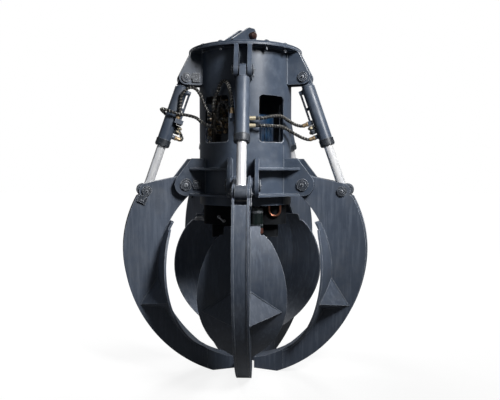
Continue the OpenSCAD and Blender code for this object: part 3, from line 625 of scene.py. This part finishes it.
beads = Build()
for k in TINES:
    first = math.degrees(turn(k))
    for side in SIDES:
        for y in (UPPER_HALF + BEAD_OFF, UPPER_HALF - UPPER_EAR_T - BEAD_OFF):
            line = [on_drum(k, side * y, z, BEAD_OFF) for z in spread(UPPER_EAR_TOP, UPPER_EAR_LOW, 10)]
            beads.weld(line, BEAD, k)
        y = side * (UPPER_HALF + BEAD_OFF)
        beads.weld([at(k, r, y, DRUM_TOP - BEAD_OFF) for r in spread(*UPPER_EAR_RUN, 4)], BEAD, k + 9)
        for y in (LOWER_HALF + BEAD_OFF, LOWER_HALF - LOWER_EAR_T - BEAD_OFF):
            line = [on_drum(k, side * y, z, BEAD_OFF) for z in spread(LOWER_EAR_TOP, LOWER_EAR_LOW, 10)]
            beads.weld(line, HEAVY_BEAD, k + 3)
        y = side * (LOWER_HALF + BEAD_OFF)
        for z in (SHELF_TOP, FLOOR_TOP):
            beads.weld([at(k, r, y, z) for r in spread(*LOWER_EAR_RUN, 4)], LIGHT_BEAD, k + 5)
    for z, r in ((SHELF_TOP, BEAD), (SHELF_UNDER, LIGHT_BEAD), (FLOOR_TOP, LIGHT_BEAD)):
        beads.weld(arc(z, DRUM_R + BEAD_OFF, first + SHELF_START, first + STEP - SHELF_START), r, k + 7)
    line = arc(DRUM_TOP - BEAD_OFF, DRUM_R + BEAD_OFF, first + TOP_START, first + STEP - TOP_START)
    beads.weld(line, HEAVY_BEAD, k + 11)
for run in SEAM_RUNS:
    beads.weld([turned(SEAM_TURN, DRUM_R - 0.5, z) for z in run], LIGHT_BEAD, 1)
c = math.cos(math.radians(LUG_TURN))
for side in SIDES:
    for face in (LUG_HALF - LUG_T, LUG_HALF):
        y = side * face
        beads.weld([Vector((x * c - y * c, x * c + y * c, BEAD_OFF)) for x in LUG_RUN], BEAD, 21)
piece("drum_welds", beads, weld_paint, "root")

# the tine from the side: its outer edge is a crown and a belly arc, and the leaf is one arc
TIP_DEPTH, TIP_CUT, CROWN_R, JOIN = 2489.0, 82.0, 848.0, math.radians(-7.4)
CROWN_X, CROWN_Z = ROD_PIN[0] - 671.0, ROD_PIN[1] - 446.0
BELLY_R = (CROWN_Z + CROWN_R * math.sin(JOIN) + TIP_DEPTH + TIP_CUT) / (1 + math.sin(JOIN))
BELLY_X = CROWN_X - (BELLY_R - CROWN_R) * math.cos(JOIN)
BELLY_Z = CROWN_Z - (BELLY_R - CROWN_R) * math.sin(JOIN)
LEAF_R, LEAF_TILT = 769.0, math.radians(5)
LEAF_X, LEAF_Z = ROD_PIN[0] - 71.0 - LEAF_R, 56.0 - TIP_DEPTH + LEAF_R
LEAF_TOP, LEAF_LOW = -1300, -2325
EDGE_START, EDGE_END = math.radians(26.4), math.radians(-66)
# the gusset's corners: (sideways, up) on the leaf and (out, up) on the rib's cheek
GUSSET_ON_LEAF = ((RIB_HALF, -1720), (268, -1872), (RIB_HALF, -1962))
GUSSET_ON_CHEEK = ((707, -1720), (838, -1918), (644, -1962))


def leaf_x(y, z, lift):
    """how far out the leaf's outer face is, lifted off it"""
    r = LEAF_R + lift
    return LEAF_X + math.sqrt(r * r - (z - LEAF_Z) ** 2) / math.cos(LEAF_TILT) - abs(y) * math.tan(LEAF_TILT)


def rib_edge(angle, inset):
    """(out, up) on the tine's outer edge, drawn in by an inset"""
    x, z, r = (CROWN_X, CROWN_Z, CROWN_R) if angle > JOIN else (BELLY_X, BELLY_Z, BELLY_R)
    return x + (r - inset) * math.cos(angle), z + (r - inset) * math.sin(angle)


for k in TINES:
    beads = Build()
    for side in SIDES:
        y = side * (RIB_HALF + 1.5)
        beads.weld([at(k, leaf_x(y, z, 1.5), y, z) for z in spread(LEAF_TOP, LEAF_LOW, 60)], BEAD, k)
        y = side * (RIB_HALF - CHEEK_T - 1)
        edge = [rib_edge(a, BEAD) for a in spread(EDGE_START, EDGE_END, 70)]
        beads.weld([at(k, r, y, z) for r, z in edge], FINE_BEAD, k + 2)
        for a, b in zip(GUSSET_ON_LEAF, GUSSET_ON_LEAF[1:]):
            line = [at(k, leaf_x(y, z, BEAD_OFF), side * y, z) for y, z in between(a, b, 12)]
            beads.weld(line, BEAD, k + 4)
        for a, b in zip(GUSSET_ON_CHEEK, GUSSET_ON_CHEEK[1:]):
            line = [at(k, r, side * (RIB_HALF + 1), z) for r, z in between(a, b, 6)]
            beads.weld(line, BEAD, k + 6)
    piece(f"tine_welds_{k}", beads, weld_paint, f"tine_{k}")


# bolts through the cover and the flange; profiles of turned parts are (along, radius)
NIPPLE = ((0, 7.5), (3, 7.5), (3.2, 4.2), (6, 4.2), (7.5, 5.2), (9.5, 5.0), (11, 2.6))
WASHER = ((0, 19), (0.6, 20), (2.4, 20), (3, 19.2))
BOLT_HEAD = ((0, 16.2), (0.8, 17), (10.4, 17), (12.6, 14.6), (13, 12.6))
HEAD_FACE = ((0, 12.4), (0.4, 12))
THREAD = tuple((i * 0.9, 9.8 if i % 2 else 9.0) for i in range(14)) + ((13, 8),)
BOLT_RING_R, BOLT_TURNS = 404, (-24, 24)

bolts = Build()
for k in TINES:
    for off in BOLT_TURNS:
        for z, way in ((0, UP), (DRUM_TOP, DOWN)):
            foot = turned(math.degrees(turn(k)) + off, BOLT_RING_R, z)
            bolts.lathe(foot, way, WASHER, 32)
            bolts.lathe(foot + way * 3, way, BOLT_HEAD, 6, 0.3 * k + off)
            if way is DOWN:
                bolts.lathe(foot + way * 15.6, way, THREAD, 20)
            else:
                bolts.lathe(foot + way * 15.9, way, HEAD_FACE, 24)
cover_piece = piece("cover_bolt_set", bolts, pin_paint, "root")
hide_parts("cover_bolts")

# pins: a dished face and a grease nipple at each end
PIN_END = 12.5


def pin_ends(build, k, pin, half, r, dish):
    for side in SIDES:
        face = at(k, pin[0], side * (half + PIN_END), pin[1])
        way = sideways(k, side)
        build.lathe(face, way, ((0, r), (1.5, r), (2.5, r - 2.5), (2.5, dish), (0.8, r * 0.42)), 40)
        build.lathe(face + way * 0.8, way, NIPPLE, 16)


ends = Build()
for k in TINES:
    pin_ends(ends, k, UPPER, UPPER_HALF, 25, 25 * 0.45)
    pin_ends(ends, k, LOWER, LOWER_HALF, 31, 31 * 0.45)
piece("pin_end_details", ends, pin_paint, "root")

# cylinders: welds, nipple on the eye, load holding valve, and the collar's face, screws and bands
CAP_WELD_AT, CAP_WELD_R, PORT_WELD_R = 67, 41.5, 18.5
EYE_END = -42
EYE_HEX = ((0, 11), (3, 11), (4, 9.5))
VALVE_AT, VALVE_OUT, VALVE_HALF = 391, -71, 21
PLUG_AT, PLUG_OUT = (377, 405), -74
PLUG_END = ((0, 8), (6, 8), (8, 6))
ADJUSTER = ((0, 13), (4, 13), (4, 10), (26, 10), (28, 8))
CAP_PLUG_AT, CAP_PLUG_OUT = (374, 408), -92
COLLAR_FACE = ((0, 52), (2, 53), (5, 53), (6, 51), (6, 38), (8, 37), (8.5, 34), (3, 33.4))
COLLAR_SCREW, SCREW_COUNT, SCREW_RING_R = ((0, 4.4), (3.4, 4.4), (4, 4), (4, 2.4), (2, 2.2)), 8, 45
BAND_R = GLAND_R + 1.2
COLLAR_BAND = ((-1.5, GLAND_R - 0.4), (-1, BAND_R), (1, BAND_R), (1.5, GLAND_R - 0.4))

for k in TINES:
    ends = Build()
    pin_ends(ends, k, ROD_PIN, RIB_HALF, 25, 11)
    piece(f"rod_pin_details_{k}", ends, pin_paint, f"tine_{k}")

    body = f"cylinder_barrel_{k}"
    line = (along(k, 1, 0, 0) - along(k, 0, 0, 0)).normalized()
    outer = (along(k, 0, 0, 1) - along(k, 0, 0, 0)).normalized()
    side = sideways(k)

    beads = Build()
    round_cap = [along(k, CAP_WELD_AT, CAP_WELD_R * math.sin(a), CAP_WELD_R * math.cos(a))
                 for a in spread(0, FULL_TURN, 48)]
    beads.weld(round_cap, LIGHT_BEAD, k)
    for s in (CAP_PORT, ROD_PORT):
        path = []
        for a in spread(0, FULL_TURN, 28):
            y = PORT_WELD_R * math.sin(a)
            path.append(along(k, s + PORT_WELD_R * math.cos(a), y, -math.sqrt(BARREL_R ** 2 - y ** 2)))
        beads.weld(path, PORT_BEAD, k)
    piece(f"barrel_welds_{k}", beads, weld_paint, body)

    nipple = Build()
    nipple.lathe(along(k, EYE_END, 0, 0) + line * 0.5, -line, NIPPLE, 16)
    nipple.lathe(along(k, EYE_END + 0.5, 0, 0), -line, EYE_HEX, 6)
    piece(f"eye_nipple_{k}", nipple, zinc, body)

    valve, plugs = Build(), Build()
    low, high = (along(k, s, 0, PLUG_OUT) for s in PLUG_AT)
    valve.block(along(k, VALVE_AT, 0, VALVE_OUT), (line, side, outer), (64, 42, 42), 3)
    valve.block(along(k, VALVE_AT, 0, VALVE_OUT + VALVE_HALF), (line, side, outer), (40, 26, 14), 2)
    for middle, way in ((high, side), (low, side), (low, -side)):
        plugs.hex_nut(middle + way * VALVE_HALF, way, 12, 12)
        plugs.lathe(middle + way * (VALVE_HALF + 12), way, PLUG_END, 16)
    for s in CAP_PLUG_AT:
        plugs.hex_nut(along(k, s, 0, CAP_PLUG_OUT), -outer, 10, 10)
    valve.lathe(high - side * VALVE_HALF, -side, ADJUSTER, 20)
    piece(f"holding_valve_{k}", valve, dark, body)
    piece(f"valve_plugs_{k}", plugs, brass, body)

    trim = Build()
    trim.lathe(along(k, GLAND_END, 0, 0), line, COLLAR_FACE, 64)
    for i in range(SCREW_COUNT):
        a = FULL_TURN * (i + 0.5) / SCREW_COUNT
        foot = along(k, GLAND_END + 6, SCREW_RING_R * math.sin(a), SCREW_RING_R * math.cos(a))
        trim.lathe(foot, line, COLLAR_SCREW, 14)
    for s in (GLAND_END - GLAND_LEN + 4, GLAND_END - 8):
        trim.lathe(along(k, s, 0, 0), line, COLLAR_BAND, 64, caps=False)
    piece(f"barrel_trim_{k}", trim, dark, body)

# what shows behind the windows: small hoses and elbows on the blocks, coil caps and cable conduits
BLOCK_WINDOWS = (3, 4, 5)
# each small hose: its two ports as (sideways, up), and how high and far out its middle is
BLOCK_HOSES = (((48, -470), (-34, -585), -408, 374.0), ((-14, -540), (40, -600), -500, 382.0),
               ((16, -505), (-30, -628), -545, 360.0))
HOSE_TAIL = ((0, 8), (1, 9.6), (22, 9.6), (24, 8.4))
COIL_CAP = ((0, 15.8), (2, 16.6), (9, 16.6), (11, 10), (14, 9), (16, 6))
COIL_PITCH, COIL_OUT, COIL_TOP = 38, 225, -390
# each conduit's foot: (sideways, out)
BLOCK_CONDUIT, MOTOR_CONDUIT, MOTOR_WINDOW = (-102, 262), (-44, 296), 2


def adapter(build, foot, way, leg):
    """an elbow: a nut on the block, a bent leg and a nut at its end"""
    build.hex_nut(foot, way, 14, 12)
    corner = foot + way * 27
    build.tube(spline([foot + way * 9, foot + way * 18, corner + leg * 9, corner + leg * 20]), 8.5, 14)
    build.hex_nut(corner + leg * 15, leg, 14, 14)


def block_hose(hoses, fittings, k, start, end, top, out):
    legs = []
    for y, z in (start, end):
        foot = behind(k, y, BLOCK_FACE, z)
        way = (behind(k, y, BLOCK_FACE + 1, z) - foot).normalized()
        fittings.hex_nut(foot, way, 12, 9)
        fittings.lathe(foot + way * 9, way, HOSE_TAIL, 18)
        legs.append([foot + way * 30, foot + way * 48])
    middle = behind(k, (start[0] + end[0]) / 2, out, top)
    hoses.tube(resample(spline(legs[0] + [middle] + legs[1][::-1]), 5.0), 7.5, 12)


def conduit(build, k, y, r):
    """a ribbed cable conduit from the deck up to the cover"""
    path = resample([behind(k, y, r, DECK_TOP), behind(k, y, r, DRUM_TOP - 10)], 6.0)
    build.tube(path, lambda i: 17.5 if i % 2 else 15.5, 14)


for k in BLOCK_WINDOWS:
    small, ends = Build(), Build()
    for hose in BLOCK_HOSES:
        block_hose(small, ends, k, *hose)
    side = sideways(k + 0.5)
    elbows = ((-44, -545, UP), (44, -570, -UP), (18, -625, side), (-22, -462, -side), (0, -560, -UP))
    for y, z, leg in elbows:
        adapter(ends, behind(k, y, BLOCK_FACE, z), behind(k, 0, 1, 0), leg)
    for i in (-1, 0, 1):
        ends.lathe(behind(k, i * COIL_PITCH, COIL_OUT, COIL_TOP), UP, COIL_CAP, 24)
    conduit(small, k, *BLOCK_CONDUIT)
    piece(f"block_hoses_{k}", small, loop_rubber, "root")
    piece(f"block_fittings_{k}", ends, bronze, "root")

# a cable conduit in black rubber; it also closes the gap beside the motor, which is dark with shade: partly
# painted shade
trunk = Build()
conduit(trunk, MOTOR_WINDOW, *MOTOR_CONDUIT)
piece("motor_conduit", trunk, rubber, "root")

# under the drum: bands round the filter, given by how far down they are, and pipes on the pan's walls
FILTER_AXIS, FILTER_R = Vector((95, -262, 0)), 46.0
BAND = ((1344, FILTER_R), (1345, FILTER_R + 1.6), (1382, FILTER_R + 1.6), (1386, FILTER_R - 4),
        (1387, FILTER_R - 16))
STRAPS, STRAP_W, STRAP_T = (1215, 1225, 1318), 6, 1.8
PAN_SIDE, PAN_FRONT, PIPE_R = -320.0, -195.0, 8.0
SIDE_PIPE = ((PAN_SIDE, -165, -1272), (PAN_SIDE - 30, -166, -1274), (PAN_SIDE - 58, -172, -1283),
             (PAN_SIDE - 62, -150, -1292), (PAN_SIDE - 52, -110, -1296), (PAN_SIDE - 28, -98, -1296),
             (PAN_SIDE, -98, -1296))
FRONT_PIPE = ((-196, PAN_FRONT, -1268), (-195, PAN_FRONT - 18, -1268), (-186, PAN_FRONT - 30, -1274),
              (-166, PAN_FRONT - 32, -1290), (-158, PAN_FRONT - 20, -1297), (-157, PAN_FRONT, -1298))

band, straps = Build(), Build()
band.lathe(FILTER_AXIS, DOWN, BAND, 48)
piece("filter_band", band, rust, "root")
for low in STRAPS:
    face = FILTER_R + STRAP_T
    profile = ((low, FILTER_R), (low + 1, face), (low + STRAP_W - 1, face), (low + STRAP_W, FILTER_R))
    straps.lathe(FILTER_AXIS, DOWN, profile, 48)
piece("filter_straps", straps, pin_paint, "root")

pipes = Build()
for route in (SIDE_PIPE, FRONT_PIPE):
    points = [Vector(q) for q in route]
    pipes.tube(resample(spline(points), 4.0), PIPE_R, 14)
    for foot, inner in ((points[0], points[1]), (points[-1], points[-2])):
        pipes.hex_nut(foot, (inner - foot).normalized(), PIPE_R * 1.7, 12)
piece("pan_pipes", pipes, zinc, "root")

# bright steel strips along the windows' lower rims and corners: a painted highlight, standing for light
# caught by the cut edges
SILL_R, SILL_RUN = 3.4, 80
half, low = WINDOW_W / 2 + 1, WINDOW_TOP - WINDOW_H - 1
corner_y, corner_z, corner_r = half - WINDOW_CORNER, low + WINDOW_CORNER, WINDOW_CORNER + 0.5
corner = [(corner_y + corner_r * math.sin(a), corner_z - corner_r * math.cos(a))
          for a in spread(0, math.radians(70), 6)]
rim = [(-y, z) for y, z in corner[::-1]] + [(y, low) for y in spread(-SILL_RUN, SILL_RUN, 12)] + corner
sills = Build()
for k in TINES:
    sills.tube([on_drum(k + 0.5, y, z, lift=-1) for y, z in rim], SILL_R, 8)
piece("window_sills", sills, rim_highlight_steel, "root")


# stage: a floor that is white to the camera and keeps the object's shadow
WHITE = (1, 1, 1, 1)
FLOOR_GLOSSY, WORLD_GLOSSY, WORLD_DIFFUSE = 0.12, 0.11, 0.014

floor_mesh = bpy.data.meshes.new("floor")
bm = bmesh.new()
bmesh.ops.create_grid(bm, x_segments=2, y_segments=2, size=30.0)
bm.to_mesh(floor_mesh)
bm.free()
floor = bpy.data.objects.new("floor", floor_mesh)
floor.location.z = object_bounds()[0][2] - 0.001
scene.collection.objects.link(floor)
nt, bsdf, floor_mat = new_material("floor_white")
coord = object_coord(nt)
base = mix(nt, noise(nt, coord, scale=3.0), (0.19, 0.19, 0.19), (0.17, 0.17, 0.17))
nt.links.new(base, bsdf.inputs["Base Color"])
bsdf.inputs["Roughness"].default_value = 0.9
bsdf.inputs["Specular IOR Level"].default_value = 0.1
bsdf.inputs["Emission Color"].default_value = WHITE
rays = nt.nodes.new("ShaderNodeLightPath").outputs
seen = maths(nt, "MAXIMUM", rays["Is Camera Ray"], times(nt, rays["Is Glossy Ray"], FLOOR_GLOSSY))
distance = nt.nodes.new("ShaderNodeVectorMath")
distance.operation = "LENGTH"
nt.links.new(coord, distance.inputs[0])
glow = ramp(nt, distance.outputs["Value"], 1.2, 5.0, start=0.86, end=1.0)
nt.links.new(times(nt, seen, glow), bsdf.inputs["Emission Strength"])
floor_mesh.materials.append(floor_mat)

world = bpy.data.worlds.new("studio")
scene.world = world
world.use_nodes = True
nt = world.node_tree
background = nt.nodes["Background"]
rays = nt.nodes.new("ShaderNodeLightPath").outputs
seen = maths(nt, "MAXIMUM", rays["Is Camera Ray"], rays["Is Transmission Ray"])
seen = maths(nt, "MAXIMUM", seen, times(nt, rays["Is Glossy Ray"], WORLD_GLOSSY))
nt.links.new(ramp(nt, seen, 0.0, 1.0, start=WORLD_DIFFUSE, end=1.0), background.inputs["Strength"])
background.inputs["Color"].default_value = WHITE


# lamps and camera, in metres
def area(name, place, target, size, power, colour=(1, 1, 1), beam=180):
    data = bpy.data.lights.new(name, "AREA")
    data.shape = "RECTANGLE"
    data.size, data.size_y = size
    data.spread = math.radians(beam)
    data.energy = power
    data.color = colour
    lamp = bpy.data.objects.new(name, data)
    lamp.location = place
    lamp.rotation_euler = (Vector(target) - Vector(place)).to_track_quat("-Z", "Y").to_euler()
    scene.collection.objects.link(lamp)


MIDDLE = (0, 0, -1.1)
area("key", (1.95, -2.8, 1.35), (0.1, -0.3, -0.9), (1.1, 1.1), 29, beam=56)
area("fill", (-3.6, -2.6, -0.4), MIDDLE, (2.0, 2.6), 5.5, colour=(0.7, 0.82, 1.0))
area("back_left", (-2.1, 3.0, 2.4), MIDDLE, (1.8, 1.8), 170)
area("back_right", (2.3, 2.9, 2.4), MIDDLE, (1.8, 1.8), 120)

CAMERA_TURN, CAMERA_DISTANCE, CAMERA_HEIGHT = math.radians(2.13), 4.0, -0.916
CAMERA_TILT, CAMERA_PAN = math.radians(90 - 3.35), math.atan(4.5 / 500)
camera_data = bpy.data.cameras.new("camera")
camera_data.lens, camera_data.sensor_width = 36.0, 36.0
camera_data.clip_end = 100
camera = bpy.data.objects.new("camera", camera_data)
camera.location = (CAMERA_DISTANCE * math.sin(CAMERA_TURN), -CAMERA_DISTANCE * math.cos(CAMERA_TURN),
                   CAMERA_HEIGHT)
camera.rotation_euler = (CAMERA_TILT, 0, CAMERA_TURN - CAMERA_PAN)
scene.collection.objects.link(camera)
scene.camera = camera
scene.view_settings.view_transform = "Standard"
